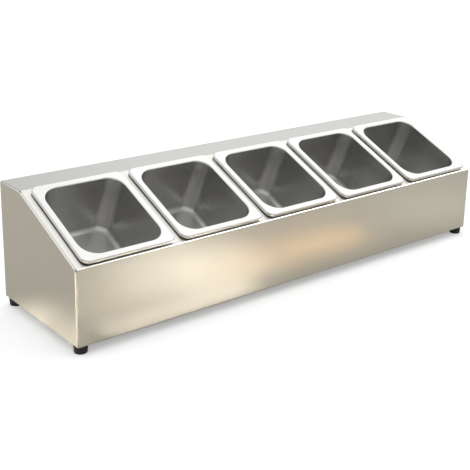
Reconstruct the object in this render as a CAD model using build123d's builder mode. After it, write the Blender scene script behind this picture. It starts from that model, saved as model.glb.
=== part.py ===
from build123d import *
import math
import os

# Countertop spice holder: a folded sheet steel housing on four rubber feet.
# Its sloping deck has a row of cut-outs, and a pressed steel pan hangs in each one by its rim.
# Millimetres. X runs along the housing, the front faces -Y, +Z is up.
# The origin is the middle of the housing's footprint, on the surface that the feet stand on.

# Housing, outside sizes at the sharp corners of the folds
depth = 234
front_height = 122
deck_slope = 24
foot_height = 13

# Housing sheet and its folds
sheet = 1.0
bend_radius = 1.5
bottom_flange = 25
rear_lap = 15
end_flange = 15
seam_gap = 0.5
relief_radius = 3.0
relief_start = 1.8

# Pans: sixth-size pans with a turned-down rim, a straight collar and a tapered tub
pan_count = 5
pan_width = 162
pan_length = 176
pan_depth = 100
pan_wall = 0.8
rim_side_width = 11
rim_end_width = 12
rim_corner = 12
rim_edge_radius = 2.2
opening_corner = 28
throat_radius = 2.5
collar_depth = 12
shoulder_drop = 4
shoulder_step = 1.0
tub_taper = 9
floor_corner = 24
floor_radius = 11

# Bare sheet left round the row of pans: between two rims, and from a rim to the deck's edges
pan_spacing = 12.5
pan_end_margin = 15
pan_front_margin = 3
pan_rear_margin = 3

# Raised edging of each cut-out, which carries the pan's rim clear of the deck and keeps spills out
edging_height = 6.2

# Named clearances
cutout_clearance = 2.0
rim_gap = 2.2
panel_gap = 0.5
screw_clearance = 0.2
cutter_overrun = 1

# Stiffening channels under the deck and cross ties over the bottom flanges
stiffener_width = 16
stiffener_height = 12
stiffener_front_margin = 8
stiffener_rear_margin = 8
tie_width = 30
tie_height = 12
tie_spacing = 300

# Feet and their fasteners
foot_inset = 13
foot_top_radius = 11
foot_bottom_radius = 10
foot_edge_radius = 1
foot_recess_radius = 6
foot_recess_depth = 7
screw_radius = 2.5
screw_head_radius = 4.7
screw_head_height = 3.2
screw_tip_beyond_nut = 2
washer_radius = 5
washer_thickness = 1
nut_across_flats = 8
nut_height = 4

# The row of pans sets the housing's length and the deck's
pan_pitch = pan_width + pan_spacing
length = (pan_count - 1) * pan_pitch + pan_width + 2 * pan_end_margin
deck_length = pan_front_margin + pan_length + pan_rear_margin
opening_width = pan_width - 2 * rim_side_width
opening_length = pan_length - 2 * rim_end_width
floor_width = opening_width - 2 * tub_taper
floor_length = opening_length - 2 * tub_taper

# Levels and edges worked out from the sizes above
bend_outer = bend_radius + sheet
front_y = -depth / 2
rear_y = depth / 2
base_z = foot_height
crease_z = base_z + front_height
crease_y = front_y + deck_length * math.cos(math.radians(deck_slope))
top_z = crease_z + deck_length * math.sin(math.radians(deck_slope))
end_setback = bend_outer + seam_gap
panel_span = length - 2 * end_setback
rear_panel_y = rear_y - sheet
flange_top_z = base_z + sheet
rim_height = edging_height + pan_wall
rim_depth = rim_height - rim_gap
cutout_width = opening_width + 2 * (pan_wall + cutout_clearance)
cutout_length = opening_length + 2 * (pan_wall + cutout_clearance)
cutout_corner = opening_corner + pan_wall + cutout_clearance

# The deck's plane: its origin is on the front crease and its Y runs up the slope
deck_normal = (0, -math.sin(math.radians(deck_slope)), math.cos(math.radians(deck_slope)))
deck = Plane(origin=(0, front_y, crease_z), x_dir=(1, 0, 0), z_dir=deck_normal)
pan_centre_v = pan_front_margin + pan_length / 2
pan_row = [(number - (pan_count - 1) / 2) * pan_pitch for number in range(pan_count)]
pan_places = [(x, pan_centre_v) for x in pan_row]
web_row = [(left + right) / 2 for left, right in zip(pan_row, pan_row[1:])]

foot_x = length / 2 - foot_inset
foot_y = depth / 2 - foot_inset
foot_places = {
    "front_left": (-foot_x, -foot_y),
    "front_right": (foot_x, -foot_y),
    "rear_left": (-foot_x, foot_y),
    "rear_right": (foot_x, foot_y),
}

os.makedirs("parts", exist_ok=True)


def save(piece, name):
    """Labels a finished piece and writes its file."""
    piece.part.label = name
    export_step(piece.part, f"parts/{name}.step")


def deck_plane_at(x, v, height=0):
    """Plane parallel to the deck, centred x along the housing and v up the slope."""
    return Plane(origin=deck.from_local_coords((x, v, height)), x_dir=deck.x_dir, z_dir=deck.z_dir)


# Clearance holes for the foot screws, cut through both bottom flanges at each corner
with BuildPart() as foot_screw_holes:
    with BuildSketch(Plane.XY.offset(base_z - cutter_overrun)):
        with Locations(*foot_places.values()):
            Circle(screw_radius + screw_clearance)
    extrude(amount=2 * (sheet + cutter_overrun))

# Front, deck, top strip and rear lap, folded from one sheet, with a cut-out for each pan
with BuildPart() as front_and_deck_skin:
    with BuildSketch(Plane.YZ.offset(-panel_span / 2)):
        with BuildLine():
            skin_line = FilletPolyline(
                (front_y + bottom_flange, base_z),
                (front_y, base_z),
                (front_y, crease_z),
                (crease_y, top_z),
                (rear_y, top_z),
                (rear_y, top_z - rear_lap),
                radius=bend_outer,
            )
            offset(skin_line, amount=sheet, side=Side.RIGHT)
        make_face()
    extrude(amount=panel_span)
    with BuildSketch(deck.offset(cutter_overrun)):
        with Locations(*pan_places):
            RectangleRounded(cutout_width, cutout_length, cutout_corner)
    extrude(amount=-(sheet + 2 * cutter_overrun), mode=Mode.SUBTRACT)
    add(foot_screw_holes.part, mode=Mode.SUBTRACT)
save(front_and_deck_skin, "front_and_deck_skin")

# Raised edging of each cut-out: a strip bent into a ring and welded upright on the deck
for number, pan_x in enumerate(pan_row, start=1):
    with BuildPart() as cutout_edging:
        with BuildSketch(deck_plane_at(pan_x, pan_centre_v)):
            RectangleRounded(cutout_width + 2 * sheet, cutout_length + 2 * sheet, cutout_corner + sheet)
            RectangleRounded(cutout_width, cutout_length, cutout_corner, mode=Mode.SUBTRACT)
        extrude(amount=edging_height)
    save(cutout_edging, f"cutout_edging_{number}")

# Rear panel: tucked under the rear lap, with its own bottom flange
with BuildPart() as rear_panel:
    with BuildSketch(Plane.YZ.offset(-panel_span / 2)):
        with BuildLine():
            rear_line = FilletPolyline(
                (rear_panel_y, top_z - bend_outer - panel_gap),
                (rear_panel_y, base_z),
                (rear_panel_y - bottom_flange, base_z),
                radius=bend_outer,
            )
            offset(rear_line, amount=sheet, side=Side.RIGHT)
        make_face()
    extrude(amount=panel_span)
    add(foot_screw_holes.part, mode=Mode.SUBTRACT)
save(rear_panel, "rear_panel")


def end_block(face_x, inset, reach, edge_radius):
    """Solid with the housing's side outline moved in by inset, rounded round its outer face."""
    with BuildPart() as block:
        with BuildSketch(Plane.YZ.offset(face_x)):
            with BuildLine():
                Polyline(
                    (front_y, base_z),
                    (front_y, crease_z),
                    (crease_y, top_z),
                    (rear_panel_y, top_z),
                    (rear_panel_y, base_z),
                    close=True,
                )
            make_face()
            offset(amount=-inset, kind=Kind.INTERSECTION)
        extrude(amount=reach)
        fillet(block.faces().sort_by(Axis.X)[0].edges(), edge_radius)
    return block


# End panels: a shallow folded tray whose flanges lie inside the other sheets
end_face_x = -length / 2
end_outside = end_block(end_face_x, sheet, end_flange, bend_outer)
end_inside = end_block(end_face_x + sheet, 2 * sheet, end_flange, bend_radius)
end_corners = end_outside.faces().sort_by(Axis.X)[-1].vertices()
end_inner_depth = rear_panel_y - sheet - (front_y + sheet)
end_middle_y = (rear_panel_y + front_y) / 2
with BuildPart() as left_end_panel:
    add(end_outside.part)
    add(end_inside.part, mode=Mode.SUBTRACT)
    with BuildSketch(Plane.XY.offset(flange_top_z)):
        with Locations((end_face_x + end_flange, end_middle_y)):
            Rectangle(bottom_flange - end_flange, end_inner_depth, align=(Align.MIN, Align.CENTER))
    extrude(amount=sheet)
    with BuildSketch(Plane.YZ.offset(end_face_x + relief_start)):
        with Locations(*[(corner.Y, corner.Z) for corner in end_corners]):
            Circle(relief_radius)
    extrude(amount=bottom_flange, mode=Mode.SUBTRACT)
    add(foot_screw_holes.part, mode=Mode.SUBTRACT)
save(left_end_panel, "left_end_panel")

with BuildPart() as right_end_panel:
    mirror(left_end_panel.part, about=Plane.YZ)
save(right_end_panel, "right_end_panel")


def folded_channel(start, run, width, height):
    """Channel of the housing sheet: its flat web lies on the plane start and its legs rise from it."""
    with BuildPart() as channel:
        with BuildSketch(start):
            with BuildLine():
                channel_line = FilletPolyline(
                    (-width / 2, height), (-width / 2, 0), (width / 2, 0), (width / 2, height), radius=bend_outer
                )
                offset(channel_line, amount=sheet, side=Side.LEFT)
            make_face()
        extrude(amount=run)
    return channel


# Stiffening channels, spot-welded under the webs between the cut-outs, legs down
stiffener_run = deck_length - stiffener_front_margin - stiffener_rear_margin
for number, web_x in enumerate(web_row, start=1):
    stiffener_start = Plane(
        origin=deck.from_local_coords((web_x, stiffener_front_margin, -sheet)),
        x_dir=deck.x_dir,
        z_dir=deck.y_dir,
    )
    deck_stiffener = folded_channel(stiffener_start, stiffener_run, stiffener_width, stiffener_height)
    save(deck_stiffener, f"deck_stiffener_{number}")

# Cross ties, spot-welded over the bottom flanges, legs up
tie_front_y = front_y + bend_outer + panel_gap
tie_run = rear_panel_y - bend_outer - panel_gap - tie_front_y
for name, tie_x in (("left_cross_tie", -tie_spacing / 2), ("right_cross_tie", tie_spacing / 2)):
    tie_start = Plane(origin=(tie_x, tie_front_y, flange_top_z), x_dir=(-1, 0, 0), z_dir=(0, 1, 0))
    cross_tie = folded_channel(tie_start, tie_run, tie_width, tie_height)
    save(cross_tie, name)


def pan_tub(seat, grow):
    """The pan's tub as a solid block, grown outwards by grow: straight collar, shoulder and taper."""
    floor_level = rim_height - pan_depth + pan_wall - grow
    collar_level = rim_height - collar_depth
    tub_sections = (
        (rim_height, opening_width, opening_length, opening_corner),
        (collar_level, opening_width, opening_length, opening_corner),
        (
            collar_level - shoulder_drop,
            opening_width - 2 * shoulder_step,
            opening_length - 2 * shoulder_step,
            opening_corner - shoulder_step,
        ),
        (floor_level, floor_width, floor_length, floor_corner),
    )
    with BuildPart() as tub:
        for level, width, long, corner in tub_sections:
            with BuildSketch(seat.offset(level)):
                RectangleRounded(width + 2 * grow, long + 2 * grow, corner + grow)
        loft(ruled=True)
        upward = Axis(seat.origin, seat.z_dir)
        fillet(tub.faces().sort_by(upward)[0].edges(), floor_radius + grow)
    return tub


def pressed_pan(seat):
    """One pan pressed from one sheet. Its rim hangs on the cut-out's edging; seat lies on the deck."""
    upward = Axis(seat.origin, seat.z_dir)
    tub_outside = pan_tub(seat, pan_wall)
    tub_inside = pan_tub(seat, 0)
    with BuildPart() as pan:
        with BuildSketch(seat.offset(rim_gap)):
            RectangleRounded(pan_width, pan_length, rim_corner)
        extrude(amount=rim_depth)
        fillet(pan.faces().sort_by(upward)[-1].edges(), rim_edge_radius)
        offset(amount=-pan_wall, openings=pan.faces().sort_by(upward)[0])
        add(tub_outside.part)
        rim_underside = pan.faces().filter_by(upward).sort_by(upward)[-2]
        fillet(rim_underside.inner_wires()[0].edges(), throat_radius - pan_wall)
        add(tub_inside.part, mode=Mode.SUBTRACT)
        rim_top = pan.faces().filter_by(upward).sort_by(upward)[-1]
        fillet(rim_top.inner_wires()[0].edges(), throat_radius)
    return pan


# Five pans, each hanging by its rim in a cut-out of the deck
for number, pan_x in enumerate(pan_row, start=1):
    save(pressed_pan(deck_plane_at(pan_x, pan_centre_v)), f"pan_{number}")

# Rubber feet with a recess for the screw's head
for name, (x, y) in foot_places.items():
    with BuildPart() as foot:
        with BuildSketch(Plane((x, y, 0))):
            Circle(foot_bottom_radius)
        with BuildSketch(Plane((x, y, foot_height))):
            Circle(foot_top_radius)
        loft()
        fillet(foot.faces().sort_by(Axis.Z)[0].edges(), foot_edge_radius)
        with BuildSketch(Plane((x, y, 0))):
            Circle(foot_recess_radius)
        extrude(amount=foot_recess_depth, mode=Mode.SUBTRACT)
        with BuildSketch(Plane((x, y, 0))):
            Circle(screw_radius + screw_clearance)
        extrude(amount=foot_height, mode=Mode.SUBTRACT)
    save(foot, f"foot_{name}")

# Foot screws, washers and nuts: one of each at every foot
washer_z = base_z + 2 * sheet
nut_z = washer_z + washer_thickness
screw_top_z = nut_z + nut_height + screw_tip_beyond_nut
with BuildPart() as foot_screws:
    for x, y in foot_places.values():
        with BuildSketch(Plane((x, y, foot_recess_depth))):
            Circle(screw_radius)
        extrude(amount=screw_top_z - foot_recess_depth)
        with BuildSketch(Plane((x, y, foot_recess_depth))):
            Circle(screw_head_radius)
        extrude(amount=-screw_head_height)
    fillet(foot_screws.faces().group_by(Axis.Z)[0].edges(), screw_head_height / 3)
save(foot_screws, "foot_screws")

with BuildPart() as foot_washers:
    with BuildSketch(Plane.XY.offset(washer_z)):
        with Locations(*foot_places.values()):
            Circle(washer_radius)
            Circle(screw_radius + screw_clearance, mode=Mode.SUBTRACT)
    extrude(amount=washer_thickness)
save(foot_washers, "foot_washers")

with BuildPart() as foot_nuts:
    with BuildSketch(Plane.XY.offset(nut_z)):
        with Locations(*foot_places.values()):
            RegularPolygon(nut_across_flats / 2, side_count=6, major_radius=False)
            Circle(screw_radius + screw_clearance, mode=Mode.SUBTRACT)
    extrude(amount=nut_height)
save(foot_nuts, "foot_nuts")
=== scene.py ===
import math
from collections import namedtuple

import bmesh
import bpy
from mathutils import Matrix, Vector


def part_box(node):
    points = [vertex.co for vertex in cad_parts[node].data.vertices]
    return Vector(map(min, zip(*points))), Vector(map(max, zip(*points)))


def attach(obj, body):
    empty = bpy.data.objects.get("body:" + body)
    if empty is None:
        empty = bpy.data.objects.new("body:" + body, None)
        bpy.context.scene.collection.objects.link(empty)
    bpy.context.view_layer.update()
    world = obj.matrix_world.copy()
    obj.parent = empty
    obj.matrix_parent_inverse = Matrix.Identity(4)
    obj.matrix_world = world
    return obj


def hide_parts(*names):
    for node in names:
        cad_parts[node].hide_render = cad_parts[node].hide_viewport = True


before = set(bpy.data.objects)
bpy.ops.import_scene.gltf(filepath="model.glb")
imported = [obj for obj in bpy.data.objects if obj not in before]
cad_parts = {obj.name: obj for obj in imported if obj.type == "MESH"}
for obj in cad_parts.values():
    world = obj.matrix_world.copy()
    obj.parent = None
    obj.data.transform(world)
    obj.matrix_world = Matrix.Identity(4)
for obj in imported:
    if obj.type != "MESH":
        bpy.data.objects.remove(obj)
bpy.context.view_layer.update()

# Countertop spice holder: a folded brushed steel housing with five lift-out pans, on rubber feet.
# Metres. X runs along the housing, the front faces -Y, +Z is up.

MM = 0.001
RIGHT_ANGLE = math.radians(90)

# Housing, in the solid model's sizes
SHEET = 1.0 * MM
FOLD_RADIUS = 2.5 * MM
SLOPE = math.radians(24)
FRONT_HEIGHT = 122 * MM
DECK_LENGTH = 182 * MM
BOTTOM_FLANGE = 25 * MM
REAR_LAP = 15 * MM
END_FLANGE = 15 * MM
RELIEF_RADIUS = 3.0 * MM
RELIEF_START = 1.8 * MM

# Cut-outs and their raised edging
CUTOUT_HALF_WIDTH = 72.8 * MM
CUTOUT_HALF_LENGTH = 78.8 * MM
CUTOUT_CORNER = 30.8 * MM
EDGING_HEIGHT = 6.2 * MM

# Pans. A ring of the pan is as wide as it is given and longer by twice the extra.
PAN_COUNT = 5
PAN_CENTRE_UP_SLOPE = 91 * MM
PAN_DEPTH = 100 * MM
PAN_WALL = 0.8 * MM
TUB_EXTRA = 6 * MM
RIM_EXTRA = 7 * MM
FLOOR_HALF, FLOOR_CORNER, FLOOR_RADIUS = 61 * MM, 24 * MM, 11 * MM
WALL_HALF, WALL_CORNER = 69 * MM, 27 * MM
MOUTH_HALF, MOUTH_CORNER, THROAT_RADIUS = 70 * MM, 28 * MM, 2.5 * MM
RIM_HALF, RIM_CORNER, RIM_EDGE = 81 * MM, 12 * MM, 2.2 * MM
SHOULDER_START_DROP = 22 * MM
SHOULDER_END_DROP = 4 * MM
RIM_GAP = 2.2 * MM
FLOOR_INSET = 6 * MM

# Feet
FOOT_TOP_RADIUS = 11 * MM
FOOT_BOTTOM_RADIUS = 10 * MM
FOOT_HEIGHT = 13 * MM
FOOT_EDGE = 1 * MM
FOOT_RECESS_RADIUS = 6 * MM
FOOT_RECESS_DEPTH = 7 * MM
FOOT_HOLE_RADIUS = 2.7 * MM

# How finely round forms are divided
FOLD_STEPS = 8
SHEET_COLUMNS = 24
CORNER_STEPS = 14
ROUND_SIDES = 48
FOOT_EDGE_STEPS = 4
FLOOR_ARC_STEPS = 9
WALL_STEPS = 3
SHOULDER_STEPS = 6
THROAT_STEPS = 7
RIM_STEPS = 7

# Tolerances: how near a vertex counts as there, what is merged, how far a cutter sticks out
NEAR = 0.1 * MM
MERGE = 0.01 * MM
CUTTER_OVERRUN = 3 * SHEET
SMOOTH_ANGLE = math.radians(32)
NORMAL_WEIGHT = 80

# Brush marks of the housing: how far one reaches along the brushing and across it
BRUSH_REACH = 180 * MM
BRUSH_WIDTH = 1.2 * MM


def middle_of(node):
    """The middle of a node's box."""
    low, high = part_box(node)
    return (low + high) / 2


# Places taken from the frame
skin_low, skin_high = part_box("front_and_deck_skin")
FRONT_Y, REAR_Y = skin_low.y, skin_high.y
BASE_Z = skin_low.z
SKIN_HALF = skin_high.x
REAR_PANEL_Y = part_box("rear_panel")[1].y
REAR_PANEL_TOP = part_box("rear_panel")[1].z
END_FACE_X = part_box("left_end_panel")[0].x
CREASE_Z = BASE_Z + FRONT_HEIGHT
STRIP_Y = FRONT_Y + DECK_LENGTH * math.cos(SLOPE)
TOP_Z = CREASE_Z + DECK_LENGTH * math.sin(SLOPE)
PANS = [f"pan_{number}" for number in range(1, PAN_COUNT + 1)]
EDGINGS = [f"cutout_edging_{number}" for number in range(1, PAN_COUNT + 1)]
FEET = ["foot_front_left", "foot_front_right", "foot_rear_left", "foot_rear_right"]
FASTENERS = ["foot_screws", "foot_washers", "foot_nuts"]
PAN_ROW = [middle_of(node).x for node in PANS]


def on_deck(x, up_slope, height=0.0):
    """The point at x, this far up the slope from the front crease and this high off the deck."""
    return Vector((
        x,
        FRONT_Y + up_slope * math.cos(SLOPE) - height * math.sin(SLOPE),
        CREASE_Z + up_slope * math.sin(SLOPE) + height * math.cos(SLOPE),
    ))


# Modelling steps shared by the pieces


def open_piece(name):
    """Names the primitive that was just added, applies its size and opens it in edit mode."""
    bpy.ops.object.transform_apply()
    piece = bpy.context.object
    piece.name = piece.data.name = name
    bpy.ops.object.mode_set(mode="EDIT")
    bpy.ops.mesh.select_mode(type="VERT")
    bpy.ops.mesh.select_all(action="DESELECT")
    return piece


def pick(piece, test):
    """Selects the vertices whose place passes the test, and what lies between them."""
    bpy.ops.mesh.select_mode(type="VERT")
    bpy.ops.mesh.select_all(action="DESELECT")
    mesh = bmesh.from_edit_mesh(piece.data)
    for vertex in mesh.verts:
        vertex.select = test(vertex.co)
    mesh.select_flush(True)
    bmesh.update_edit_mesh(piece.data)


def pick_faces(piece, test):
    """Selects the faces whose middle and normal pass the test."""
    bpy.ops.mesh.select_mode(type="FACE")
    bpy.ops.mesh.select_all(action="DESELECT")
    mesh = bmesh.from_edit_mesh(piece.data)
    for face in mesh.faces:
        face.select_set(test(face.calc_center_median(), face.normal))
    bmesh.update_edit_mesh(piece.data)


def face_outwards(piece, outward):
    """Makes the faces agree, with the one furthest along outward facing that way."""
    bpy.ops.mesh.select_mode(type="FACE")
    bpy.ops.mesh.select_all(action="SELECT")
    bpy.ops.mesh.remove_doubles(threshold=MERGE)
    bpy.ops.mesh.normals_make_consistent(inside=False)
    mesh = bmesh.from_edit_mesh(piece.data)
    outermost = max(mesh.faces, key=lambda face: face.calc_center_median().dot(outward))
    if outermost.normal.dot(outward) < 0:
        bpy.ops.mesh.flip_normals()


def only_select(piece):
    """Leaves edit mode with only this piece selected and active."""
    if bpy.context.mode != "OBJECT":
        bpy.ops.object.mode_set(mode="OBJECT")
    bpy.ops.object.select_all(action="DESELECT")
    piece.select_set(True)
    bpy.context.view_layer.objects.active = piece


def modify(piece, kind, **settings):
    """Adds a modifier with these settings and applies it."""
    only_select(piece)
    modifier = piece.modifiers.new(kind.title(), kind)
    for setting, value in settings.items():
        setattr(modifier, setting, value)
    bpy.ops.object.modifier_apply(modifier=modifier.name)


def thicken(piece, wall):
    """Gives a surface its wall, on the side that its faces look away from."""
    modify(piece, "SOLIDIFY", thickness=wall, offset=-1, use_even_offset=True)


def cut(piece, cutter):
    """Cuts a closed shape out of the piece and deletes it."""
    modify(piece, "BOOLEAN", operation="DIFFERENCE", solver="EXACT", object=cutter)
    bpy.data.objects.remove(cutter)


def drill(piece, radius, depth, middle, turned=(0, 0, 0)):
    """Cuts a round hole, which is upright unless it is turned."""
    only_select(piece)
    bpy.ops.mesh.primitive_cylinder_add(
        vertices=ROUND_SIDES, radius=radius, depth=depth, location=middle, rotation=turned
    )
    bpy.ops.object.transform_apply()
    cut(piece, bpy.context.object)


def copy_piece(piece, name):
    """A copy with its own mesh."""
    twin = piece.copy()
    twin.data = piece.data.copy()
    twin.name = twin.data.name = name
    bpy.context.scene.collection.objects.link(twin)
    return twin


def set_on_deck(piece, x):
    """Tilts a piece modelled flat round the origin to the slope and sets it at a pan's place."""
    only_select(piece)
    piece.rotation_euler = (SLOPE, 0, 0)
    piece.location = on_deck(x, PAN_CENTRE_UP_SLOPE)
    bpy.ops.object.transform_apply()


def rounded_plate(name, half_width, half_length, corner, level):
    """A flat plate with rounded corners round the origin, left in edit mode."""
    bpy.ops.object.select_all(action="DESELECT")
    bpy.ops.mesh.primitive_plane_add(size=2, location=(0, 0, level))
    bpy.context.object.scale = (half_width, half_length, 1)
    plate = open_piece(name)
    bpy.ops.mesh.select_all(action="SELECT")
    bpy.ops.mesh.bevel(offset=corner, segments=CORNER_STEPS, affect="VERTICES")
    return plate


def rounded_block(name, x, half_width, half_length, corner, low, high):
    """A closed block with rounded upright corners, standing on the deck at a pan's place."""
    block = rounded_plate(name, half_width, half_length, corner, low)
    bpy.ops.mesh.extrude_region_move(TRANSFORM_OT_translate={"value": (0, 0, high - low)})
    face_outwards(block, Vector((0, 0, 1)))
    set_on_deck(block, x)
    return block


def folded_sheet(name, start, heading, half_width, legs):
    """A sheet that runs along X, folded along its way across.

    It starts at the point start of the YZ plane and goes in the direction heading. Each leg is
    the straight length up to the sharp corner and the turn there, to the left when positive.
    """
    place, angle, used = Vector(start), heading, 0.0
    piece = None
    for reach, turn in legs:
        tangent = FOLD_RADIUS * math.tan(abs(turn) / 2)
        way = Vector((math.cos(angle), math.sin(angle)))
        run = reach - used - tangent
        end = place + way * run
        if piece is None:
            bpy.ops.mesh.primitive_grid_add(
                x_subdivisions=SHEET_COLUMNS, y_subdivisions=1, size=1,
                location=(0, *(place + way * run / 2)), rotation=(angle, 0, 0),
            )
            bpy.context.object.scale = (2 * half_width, run, 1)
            piece = open_piece(name)
            pick(piece, lambda co: (co.yz - end).length < NEAR)
        else:
            bpy.ops.mesh.extrude_edges_move(TRANSFORM_OT_translate={"value": (0, *(way * run))})
        place = end
        if turn:
            side = math.copysign(1, turn)
            centre = place + Vector((-way.y, way.x)) * side * FOLD_RADIUS
            bpy.ops.mesh.spin(
                steps=FOLD_STEPS, angle=-turn, center=(0, *centre), axis=(1, 0, 0)
            )
            place = centre + Matrix.Rotation(turn, 2) @ (place - centre)
            angle += turn
        used = tangent
    return piece


def give_material(piece, material):
    """Makes this the piece's only material."""
    piece.data.materials.clear()
    piece.data.materials.append(material)


def dress(piece, material, body, node):
    """Gives a piece its material and slot, puts it on its body and lets it stand for its node."""
    give_material(piece, material)
    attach(piece, body)
    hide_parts(node)


def finish_metal(piece, material, body, node):
    """Smooths a finished sheet metal piece and dresses it."""
    only_select(piece)
    bpy.ops.object.shade_smooth_by_angle(angle=SMOOTH_ANGLE)
    modify(piece, "WEIGHTED_NORMAL", keep_sharp=True, weight=NORMAL_WEIGHT)
    dress(piece, material, body, node)


# Materials


def linear(code):
    """Linear colour of an sRGB hex value."""
    channels = [int(code[i:i + 2], 16) / 255 for i in (1, 3, 5)]
    return (*[c / 12.92 if c <= 0.04045 else ((c + 0.055) / 1.055) ** 2.4 for c in channels], 1.0)


def add_node(owner, kind, links=None, **settings):
    """Adds a node to a material or world, with the sockets that feed its inputs.

    Settings are its properties or, where it has none by that name, its inputs: in_1 is input
    number 1, and an underscore stands for a space.
    """
    tree = owner.node_tree
    node = tree.nodes.new(kind)
    for key, value in settings.items():
        if hasattr(node, key):
            setattr(node, key, value)
        elif key.startswith("in_"):
            node.inputs[int(key[3:])].default_value = value
        else:
            node.inputs[key.replace("_", " ")].default_value = value
    for socket, source in (links or {}).items():
        tree.links.new(source, node.inputs[socket])
    return node


def calculate(owner, operation, links, **settings):
    """The result of a math node."""
    return add_node(
        owner, "ShaderNodeMath", links, operation=operation, **settings
    ).outputs["Value"]


def map_range(owner, value, from_low, from_high, to_low=0.0, to_high=1.0):
    """The value, carried from one range to another and held at the ends."""
    return add_node(
        owner, "ShaderNodeMapRange", {"Value": value},
        From_Min=from_low, From_Max=from_high, To_Min=to_low, To_Max=to_high,
    ).outputs["Result"]


def from_noise(material, noise, low, high):
    """A noise's values, most of which lie between 0.3 and 0.7, carried to low and high."""
    return map_range(material, noise.outputs["Fac"], 0.3, 0.7, low, high)


def new_material(name):
    """An empty material with its output node."""
    material = bpy.data.materials.new(name)
    material.use_nodes = True
    material.node_tree.nodes.clear()
    return material, add_node(material, "ShaderNodeOutputMaterial")


def principled(material, output, rough, bump, **settings):
    """The surface itself, with this roughness and these bumps."""
    shader = add_node(
        material, "ShaderNodeBsdfPrincipled",
        {"Roughness": rough, "Normal": bump.outputs["Normal"]}, **settings
    )
    material.node_tree.links.new(shader.outputs["BSDF"], output.inputs["Surface"])


def brushed_stainless(name, grain, colour, roughness, spread, depth):
    """Stainless sheet, belt-brushed in one direction: a soft, streaky reflection.

    grain is how far one brush mark reaches along X, Y and Z. The real marks are about 0.1 mm
    apart, too fine to show, so they are drawn wider. The sheet's handling shows as clouds.
    """
    cloud_size = 160 * MM
    material, output = new_material(name)
    place = add_node(material, "ShaderNodeTexCoord").outputs["Object"]
    stretched = add_node(
        material, "ShaderNodeMapping", {"Vector": place}, Scale=[1 / reach for reach in grain]
    )
    marks = add_node(
        material, "ShaderNodeTexNoise", {"Vector": stretched.outputs["Vector"]},
        Scale=1.0, Detail=2.0, Roughness=0.5,
    )
    clouds = add_node(
        material, "ShaderNodeTexNoise", {"Vector": place}, Scale=1 / cloud_size, Detail=2.0
    )
    streaked = from_noise(material, marks, -spread, spread)
    handled = from_noise(material, clouds, roughness - spread, roughness + spread)
    rough = calculate(material, "ADD", {0: streaked, 1: handled})
    bump = add_node(
        material, "ShaderNodeBump", {"Height": marks.outputs["Fac"]}, Strength=1.0, Distance=depth
    )
    principled(material, output, rough, bump, Base_Color=linear(colour), Metallic=1.0)
    return material


def moulded_rubber():
    """Black moulded rubber: matt, with a faint pebble from the mould and a soft sheen."""
    pebble_size, worn_size, pebble_depth = 0.8 * MM, 9 * MM, 0.05 * MM
    material, output = new_material("moulded_rubber")
    place = add_node(material, "ShaderNodeTexCoord").outputs["Object"]
    pebble = add_node(
        material, "ShaderNodeTexNoise", {"Vector": place}, Scale=1 / pebble_size, Detail=3.0
    )
    worn = add_node(
        material, "ShaderNodeTexNoise", {"Vector": place}, Scale=1 / worn_size, Detail=2.0
    )
    rough = from_noise(material, worn, 0.5, 0.72)
    bump = add_node(
        material, "ShaderNodeBump", {"Height": pebble.outputs["Fac"]},
        Strength=0.5, Distance=pebble_depth,
    )
    principled(material, output, rough, bump, Base_Color=linear("#1B1B1C"), IOR=1.5)
    return material


def deck_place(material):
    """Distance sideways and lengthways from the nearest pan's middle, and height off the deck."""
    place = add_node(material, "ShaderNodeTexCoord").outputs["Object"]
    middle = Matrix.Rotation(-SLOPE, 3, "X") @ on_deck(0, PAN_CENTRE_UP_SLOPE)
    level = add_node(
        material, "ShaderNodeMapping", {"Vector": place},
        Location=tuple(-middle), Rotation=(-SLOPE, 0, 0),
    )
    parts = add_node(material, "ShaderNodeSeparateXYZ", {"Vector": level.outputs["Vector"]})
    pitch = PAN_ROW[1] - PAN_ROW[0]
    across = calculate(material, "WRAP", {0: parts.outputs["X"]}, in_1=pitch / 2, in_2=-pitch / 2)
    sideways = calculate(material, "ABSOLUTE", {0: across})
    lengthways = calculate(material, "ABSOLUTE", {0: parts.outputs["Y"]})
    return sideways, lengthways, parts.outputs["Z"]


def step_up(material, value, edge, soft=0.5 * MM):
    """0 below the edge, 1 above it."""
    return map_range(material, value, edge - soft, edge + soft)


def blend(material, share, shader, socket, usual, other):
    """Feeds the shader's socket with usual where share is 0 and with other where it is 1."""
    kind = "RGBA" if socket == "Base Color" else "FLOAT"
    mix = add_node(material, "ShaderNodeMix", {0: share}, data_type=kind)
    first, second, result = (6, 7, 2) if kind == "RGBA" else (2, 3, 0)
    mix.inputs[second].default_value = other
    if isinstance(usual, bpy.types.NodeSocket):
        material.node_tree.links.new(usual, mix.inputs[first])
    else:
        mix.inputs[first].default_value = usual
    material.node_tree.links.new(mix.outputs[result], shader.inputs[socket])


def polish_rims_and_paint_highlight(material, colour, roughness):
    """The pans' rims are polished and get a lighter colour, a painted highlight; their insides keep
    the satin finish.
    """
    rim_low = EDGING_HEIGHT - 1.5 * MM
    shader = material.node_tree.nodes["Principled BSDF"]
    sideways, lengthways, height = deck_place(material)
    outside = calculate(material, "MAXIMUM", {
        0: step_up(material, sideways, CUTOUT_HALF_WIDTH),
        1: step_up(material, lengthways, CUTOUT_HALF_LENGTH),
    })
    share = calculate(material, "MAXIMUM", {0: outside, 1: step_up(material, height, rim_low)})
    satin = shader.inputs["Roughness"].links[0].from_socket
    usual = tuple(shader.inputs["Base Color"].default_value)
    # Painted highlight: the rims' colour is lighter than the rest of the pressing's
    blend(material, share, shader, "Base Color", usual, linear(colour))
    blend(material, share, shader, "Roughness", satin, roughness)


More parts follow.
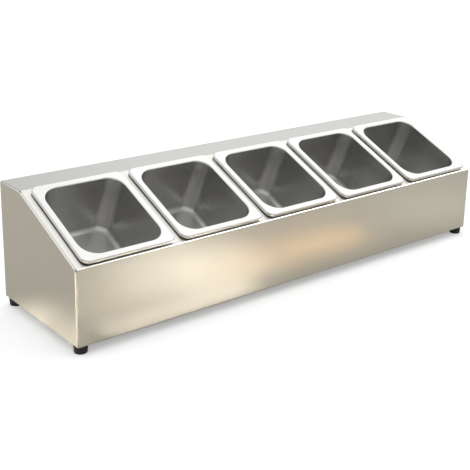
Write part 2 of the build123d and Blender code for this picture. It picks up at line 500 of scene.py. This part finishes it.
housing_steel = brushed_stainless(
    "brushed_stainless", grain=(BRUSH_REACH, BRUSH_WIDTH, BRUSH_WIDTH),
    colour="#DEDBD5", roughness=0.3, spread=0.006, depth=0.0002 * MM,
)
end_steel = brushed_stainless(
    "brushed_stainless_ends", grain=(BRUSH_WIDTH, BRUSH_REACH, BRUSH_WIDTH),
    colour="#DEDBD5", roughness=0.3, spread=0.006, depth=0.0002 * MM,
)
pan_steel = brushed_stainless(
    "pressed_stainless", grain=(2 * MM, 2 * MM, 60 * MM),
    colour="#C9C8C5", roughness=0.3, spread=0.01, depth=0.0002 * MM,
)
# The rims' lower roughness is their polish; their lighter colour is a painted highlight
polish_rims_and_paint_highlight(pan_steel, colour="#DEDDDA", roughness=0.12)
mill_steel = brushed_stainless(
    "mill_finish_stainless", grain=(20 * MM, 2 * MM, 2 * MM),
    colour="#C4C2BE", roughness=0.42, spread=0.05, depth=0.01 * MM,
)
fastener_steel = brushed_stainless(
    "turned_stainless", grain=(1.5 * MM, 1.5 * MM, 0.5 * MM),
    colour="#C8C7C4", roughness=0.28, spread=0.04, depth=0.01 * MM,
)
rubber = moulded_rubber()

# Front, deck, top strip and rear lap, folded from one sheet
bpy.ops.object.select_all(action="DESELECT")
skin = folded_sheet(
    "front_and_deck_sheet", (FRONT_Y + BOTTOM_FLANGE, BASE_Z), math.pi, SKIN_HALF,
    [
        (BOTTOM_FLANGE, -RIGHT_ANGLE),
        (FRONT_HEIGHT, SLOPE - RIGHT_ANGLE),
        (DECK_LENGTH, -SLOPE),
        (REAR_Y - STRIP_Y, -RIGHT_ANGLE),
        (REAR_LAP, 0),
    ],
)
face_outwards(skin, Vector((0, -1, 0)))
thicken(skin, SHEET)
for x in PAN_ROW:
    cut(skin, rounded_block(
        "cutout", x, CUTOUT_HALF_WIDTH, CUTOUT_HALF_LENGTH, CUTOUT_CORNER,
        -CUTTER_OVERRUN, CUTTER_OVERRUN,
    ))
finish_metal(skin, housing_steel, "housing", "front_and_deck_skin")

# Raised edging of each cut-out, a strip bent into a ring
for node, x in zip(EDGINGS, PAN_ROW):
    edging = rounded_block(
        f"{node}_strip", x, CUTOUT_HALF_WIDTH + SHEET, CUTOUT_HALF_LENGTH + SHEET,
        CUTOUT_CORNER + SHEET, 0, EDGING_HEIGHT,
    )
    cut(edging, rounded_block(
        "hollow", x, CUTOUT_HALF_WIDTH, CUTOUT_HALF_LENGTH, CUTOUT_CORNER,
        -CUTTER_OVERRUN, EDGING_HEIGHT + CUTTER_OVERRUN,
    ))
    finish_metal(edging, housing_steel, "housing", node)

# Rear panel, tucked under the rear lap
rear = folded_sheet(
    "rear_sheet", (REAR_PANEL_Y - BOTTOM_FLANGE, BASE_Z), 0.0, SKIN_HALF,
    [(BOTTOM_FLANGE, RIGHT_ANGLE), (REAR_PANEL_TOP - BASE_Z, 0)],
)
face_outwards(rear, Vector((0, 1, 0)))
thicken(rear, SHEET)
finish_metal(rear, housing_steel, "housing", "rear_panel")


# End panels: a shallow tray folded from one sheet, with a round relief at each corner of its folds
def left_end_tray(name):
    """The left end panel, not dressed yet."""
    low = Vector((END_FACE_X, FRONT_Y + SHEET, BASE_Z + SHEET))
    high = Vector((END_FACE_X + END_FLANGE, REAR_PANEL_Y - SHEET, TOP_Z - SHEET))
    deck_low = on_deck(0, 0, -SHEET)
    bpy.ops.mesh.primitive_cube_add(size=1, location=(low + high) / 2)
    bpy.context.object.scale = high - low
    tray = open_piece(name)
    bpy.ops.mesh.select_all(action="SELECT")
    bpy.ops.mesh.bisect(
        plane_co=deck_low, plane_no=(0, -math.sin(SLOPE), math.cos(SLOPE)),
        use_fill=True, clear_outer=True,
    )
    face_outwards(tray, Vector((-1, 0, 0)))
    pick_faces(tray, lambda middle, normal: normal.x > 0.9)
    bpy.ops.mesh.delete(type="ONLY_FACE")
    pick(tray, lambda co: co.x < low.x + NEAR)
    bpy.ops.mesh.bevel(
        offset=FOLD_RADIUS, segments=FOLD_STEPS, affect="EDGES", clamp_overlap=False
    )
    pick(tray, lambda co: co.x > high.x - NEAR and co.z < low.z + NEAR)
    bpy.ops.mesh.extrude_edges_move(
        TRANSFORM_OT_translate={"value": (BOTTOM_FLANGE - END_FLANGE, 0, 0)}
    )
    face_outwards(tray, Vector((-1, 0, 0)))
    thicken(tray, SHEET)
    deck_start = deck_low.z + SHEET * math.tan(SLOPE)
    for y, z in (
        (low.y, low.z), (low.y, deck_start), (STRIP_Y, high.z), (high.y, high.z), (high.y, low.z)
    ):
        middle = (low.x + RELIEF_START + BOTTOM_FLANGE / 2, y, z)
        drill(tray, RELIEF_RADIUS, BOTTOM_FLANGE, middle, (0, RIGHT_ANGLE, 0))
    return tray


left_end = left_end_tray("left_end_sheet")
right_end = copy_piece(left_end, "right_end_sheet")
only_select(right_end)
bpy.ops.object.mode_set(mode="EDIT")
bpy.ops.mesh.select_all(action="SELECT")
bpy.ops.transform.mirror(constraint_axis=(True, False, False), center_override=(0, 0, 0))
bpy.ops.mesh.flip_normals()
finish_metal(left_end, end_steel, "housing", "left_end_panel")
finish_metal(right_end, end_steel, "housing", "right_end_panel")

# Pans, pressed from one sheet
Ring = namedtuple("Ring", "half_width half_length corner level")


def ring(half_width, corner, level, extra=TUB_EXTRA):
    """A ring of the pan, longer than it is wide."""
    return Ring(half_width, half_width + extra, corner, level)


def steps(count, first=0):
    """Even shares of a way, up to 1."""
    return [number / count for number in range(first, count + 1)]


def pan_rings():
    """The pan's rings from the floor out over the rim."""
    rim_level = EDGING_HEIGHT + PAN_WALL
    floor_level = rim_level - PAN_DEPTH + PAN_WALL
    shoulder_low, shoulder_high = rim_level - SHOULDER_START_DROP, rim_level - SHOULDER_END_DROP

    # Round edge of the floor, up to where the leaning wall begins
    lean = math.atan2(WALL_HALF - FLOOR_HALF, shoulder_low - floor_level)
    turn = RIGHT_ANGLE - lean
    inset = FLOOR_RADIUS * math.tan(turn / 2)
    wall_gain = (WALL_CORNER - FLOOR_CORNER) / (shoulder_low - floor_level)
    arc_end_corner = FLOOR_CORNER + wall_gain * inset * math.cos(lean)
    rings = []
    for share in steps(FLOOR_ARC_STEPS):
        angle = turn * share
        eased = math.sin(angle) / math.sin(turn)
        rings.append(ring(
            FLOOR_HALF - inset + FLOOR_RADIUS * math.sin(angle),
            FLOOR_CORNER - inset + (arc_end_corner - FLOOR_CORNER + inset) * eased,
            floor_level + FLOOR_RADIUS * (1 - math.cos(angle)),
        ))

    # Wall
    start = rings[-1]
    for share in steps(WALL_STEPS, first=1):
        rings.append(ring(
            start.half_width + (WALL_HALF - start.half_width) * share,
            arc_end_corner + (WALL_CORNER - arc_end_corner) * share,
            start.level + (shoulder_low - start.level) * share,
        ))

    # Shoulder, which widens to the straight collar
    for share in steps(SHOULDER_STEPS, first=1):
        eased = 1 - (1 - share) ** 2
        rings.append(ring(
            WALL_HALF + (MOUTH_HALF - WALL_HALF) * eased,
            WALL_CORNER + (MOUTH_CORNER - WALL_CORNER) * eased,
            shoulder_low + (shoulder_high - shoulder_low) * share,
        ))

    # Throat, round into the flat rim
    for share in steps(THROAT_STEPS):
        angle = RIGHT_ANGLE * share
        out = THROAT_RADIUS * (1 - math.cos(angle))
        rings.append(ring(
            MOUTH_HALF + out, MOUTH_CORNER + out,
            rim_level - THROAT_RADIUS * (1 - math.sin(angle)),
        ))

    # Outer edge of the rim and its lip, down to the gap over the deck
    for share in steps(RIM_STEPS):
        angle = RIGHT_ANGLE * share
        out = RIM_EDGE * math.sin(angle)
        rings.append(ring(
            RIM_HALF - RIM_EDGE + out, RIM_CORNER - RIM_EDGE + out,
            rim_level - RIM_EDGE * (1 - math.cos(angle)), RIM_EXTRA,
        ))
    rings.append(ring(RIM_HALF, RIM_CORNER, RIM_GAP, RIM_EXTRA))
    return rings


def pick_numbers(piece, numbers, test):
    """Selects those of the numbered vertices whose place passes the test, and what they bound."""
    mesh = bmesh.from_edit_mesh(piece.data)
    mesh.verts.ensure_lookup_table()
    for number in numbers:
        mesh.verts[number].select = test(mesh.verts[number].co)
    mesh.select_flush(True)
    bmesh.update_edit_mesh(piece.data)


def carry_ring(piece, before, after):
    """Extrudes the selected ring of edges and moves its rounded corners to the next ring's."""
    rise = after.level - before.level
    bpy.ops.mesh.extrude_edges_move(TRANSFORM_OT_translate={"value": (0, 0, rise)})
    mesh = bmesh.from_edit_mesh(piece.data)
    numbers = [vertex.index for vertex in mesh.verts if vertex.select]
    for sx, sy in ((1, 1), (1, -1), (-1, 1), (-1, -1)):
        bpy.ops.mesh.select_all(action="DESELECT")
        pick_numbers(piece, numbers, lambda co: co.x * sx > 0 and co.y * sy > 0)
        old, new = [
            Vector((sx * (r.half_width - r.corner), sy * (r.half_length - r.corner), 0))
            for r in (before, after)
        ]
        scale = after.corner / before.corner
        bpy.ops.transform.resize(
            value=(scale, scale, 1), center_override=(old.x, old.y, after.level)
        )
        bpy.ops.transform.translate(value=new - old)
    pick_numbers(piece, numbers, lambda co: True)


rings = pan_rings()
floor_ring = rings[0]
pan = rounded_plate("pan_pressing", *floor_ring)
bpy.ops.mesh.select_all(action="SELECT")
for before, after in zip(rings, rings[1:]):
    carry_ring(pan, before, after)
pick_faces(pan, lambda middle, normal: middle.z < floor_ring.level + MERGE)
bpy.ops.mesh.inset(thickness=FLOOR_INSET)
face_outwards(pan, Vector((0, 0, 1)))
thicken(pan, PAN_WALL)
for node, x in zip(PANS, PAN_ROW):
    piece = copy_piece(pan, f"{node}_pressing")
    set_on_deck(piece, x)
    finish_metal(piece, pan_steel, node, node)
bpy.data.objects.remove(pan)

# Rubber feet, with a recess below for the screw's head
bpy.ops.object.select_all(action="DESELECT")
bpy.ops.mesh.primitive_cylinder_add(
    vertices=ROUND_SIDES, radius=FOOT_TOP_RADIUS, depth=FOOT_HEIGHT,
    location=(0, 0, FOOT_HEIGHT / 2),
)
foot = open_piece("foot_rubber")
pick(foot, lambda co: co.z < NEAR)
taper = FOOT_BOTTOM_RADIUS / FOOT_TOP_RADIUS
bpy.ops.transform.resize(value=(taper, taper, 1), center_override=(0, 0, 0))
bpy.ops.mesh.bevel(offset=FOOT_EDGE, segments=FOOT_EDGE_STEPS, affect="EDGES")
for radius, top in (
    (FOOT_RECESS_RADIUS, FOOT_RECESS_DEPTH), (FOOT_HOLE_RADIUS, FOOT_HEIGHT + FOOT_EDGE)
):
    drill(foot, radius, top + FOOT_EDGE, (0, 0, (top - FOOT_EDGE) / 2))
for node in FEET:
    piece = copy_piece(foot, f"{node}_rubber")
    only_select(piece)
    piece.location.xy = middle_of(node).xy
    bpy.ops.object.transform_apply()
    bpy.ops.object.shade_smooth_by_angle(angle=SMOOTH_ANGLE)
    dress(piece, rubber, "housing", node)
bpy.data.objects.remove(foot)

# Pieces whose solids are already right get their finish
for node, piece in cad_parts.items():
    if node.startswith("deck_stiffener") or node.endswith("cross_tie"):
        give_material(piece, mill_steel)
    elif node in FASTENERS:
        give_material(piece, fastener_steel)

# Floor. The steel mirrors a floor of its own, which the pools of light fall on, so that the floor
# the camera sees stays plain and keeps only the object's shadow.
FLOOR_SIDE = 40
MIRRORED_FLOOR_LEVEL = 0.2 * MM


def paint_floor(name, level, colour, glow):
    """A matt floor with this colour and a little light of its own."""
    bpy.ops.object.select_all(action="DESELECT")
    bpy.ops.mesh.primitive_plane_add(size=FLOOR_SIDE, location=(0, 0, level))
    floor = bpy.context.object
    floor.name = name
    material, output = new_material(name)
    matt = add_node(material, "ShaderNodeBsdfDiffuse", Color=linear(colour))
    lift = add_node(
        material, "ShaderNodeEmission", Color=linear("#FFFFFF"), Strength=glow
    )
    both = add_node(
        material, "ShaderNodeAddShader", {0: matt.outputs["BSDF"], 1: lift.outputs["Emission"]}
    )
    material.node_tree.links.new(both.outputs["Shader"], output.inputs["Surface"])
    floor.data.materials.append(material)
    return floor


floor = paint_floor("floor", 0, "#F6F6F6", 0.3)
floor.visible_glossy = False
mirrored_floor = paint_floor("mirrored_floor", MIRRORED_FLOOR_LEVEL, "#C9C4B8", 0.0)
mirrored_floor.visible_camera = False
mirrored_floor.visible_diffuse = False
mirrored_floor.visible_shadow = False

# Camera, fitted to the photograph. Its shift is there because upright edges hardly converge.
CAMERA_PLACE = (-1.0378, -1.1908, 0.6376)
CAMERA_LENS = 70.83
CAMERA_SHIFT = -70 / 470
AZIMUTH, ELEVATION, ROLL = math.radians(39.32), math.radians(-15.91), math.radians(1.14)

camera = bpy.data.objects.new("camera", bpy.data.cameras.new("camera"))
camera.data.lens = CAMERA_LENS
camera.data.shift_y = CAMERA_SHIFT
camera.location = CAMERA_PLACE
camera.rotation_euler = (
    Matrix.Rotation(-AZIMUTH, 3, "Z") @ Matrix.Rotation(RIGHT_ANGLE + ELEVATION, 3, "X")
    @ Matrix.Rotation(ROLL, 3, "Z")
).to_euler()
bpy.context.scene.collection.objects.link(camera)
bpy.context.scene.camera = camera
bpy.context.scene.view_settings.view_transform = "Standard"

# Room: white for the camera. The steel sees it dim near the floor, brighter above a low horizon
# and brighter still far to the right.
world = bpy.data.worlds.new("studio")
bpy.context.scene.world = world
world.use_nodes = True
world.node_tree.nodes.clear()
path = add_node(world, "ShaderNodeLightPath")
way = add_node(world, "ShaderNodeTexCoord").outputs["Generated"]
parts = add_node(world, "ShaderNodeSeparateXYZ", {"Vector": way})
above = map_range(world, parts.outputs["Z"], 0.0, 0.3, 0.3, 0.78)
right = map_range(world, parts.outputs["X"], 0.38, 0.52, 0.0, 0.24)
strength = calculate(world, "ADD", {0: above, 1: right})
room = add_node(world, "ShaderNodeBackground", {"Strength": strength}, Color=linear("#F4F6F8"))
white = add_node(world, "ShaderNodeBackground", Color=linear("#FFFFFF"), Strength=1.0)
sky = add_node(
    world, "ShaderNodeMixShader",
    {
        0: path.outputs["Is Camera Ray"],
        1: room.outputs["Background"], 2: white.outputs["Background"],
    },
)
add_node(world, "ShaderNodeOutputWorld", {"Surface": sky.outputs["Shader"]})


# Lamps
def softbox(name, place, aim, width, depth, power, spread=180, tint="#FFFFFF", only_for=None):
    """A rectangular soft light that faces the point aim and lights all, or only one object."""
    light = bpy.data.lights.new(name, "AREA")
    light.color = linear(tint)[:3]
    light.shape = "RECTANGLE"
    light.size, light.size_y, light.energy = width, depth, power
    light.spread = math.radians(spread)
    lamp = bpy.data.objects.new(name, light)
    lamp.location = place
    lamp.rotation_euler = (Vector(aim) - Vector(place)).to_track_quat("-Z", "Y").to_euler()
    bpy.context.scene.collection.objects.link(lamp)
    if only_for:
        receivers = bpy.data.collections.new(f"{name}_receivers")
        receivers.objects.link(only_for)
        lamp.light_linking.receiver_collection = receivers


softbox("overhead_softbox", (0.0, 0.95, 2.2), (0, 0.95, 0), 7.0, 2.2, power=23)
softbox("front_softbox", (1.7, -0.95, 2.2), (1.7, -0.95, 0), 2.0, 0.9, power=2.6)

# Pools of light on the mirrored floor, each from a narrow lamp straight above it: its X and Y, the
# lamp's height, width, depth and power, and its spread in degrees
for name, x, y, height, width, depth, power, spread, tint in (
    ("bright_pool", -0.115, -0.31, 0.5, 0.17, 0.12, 0.36, 30, "#FFFAF4"),
    ("warm_pool", 0.11, -0.25, 0.35, 0.33, 0.02, 0.115, 20, "#FFD08C"),
    ("left_pool", -0.3, -0.28, 0.4, 0.12, 0.06, 0.03, 30, "#FFEED0"),
    ("near_pool", -0.22, -0.168, 0.3, 0.28, 0.02, 0.17, 12, "#FFFAF4"),
    ("right_pool", 0.52, -0.28, 0.5, 0.3, 0.15, 0.06, 30, "#FFFFFF"),
    ("side_pool", -0.465, -0.01, 0.3, 0.02, 0.2, 0.058, 24, "#FFFAF4"),
    ("corner_pool", -0.66, -0.28, 0.5, 0.3, 0.3, 1.45, 30, "#FFFAF0"),
):
    softbox(name, (x, y, height), (x, y, 0), width, depth, power, spread, tint, mirrored_floor)

# A fine bright line along the crease between front and deck
softbox(
    "crease_softbox", (1.45, -1.29, 1.30), (0, FRONT_Y, CREASE_Z), 2.0, 0.5, power=32, only_for=skin
)
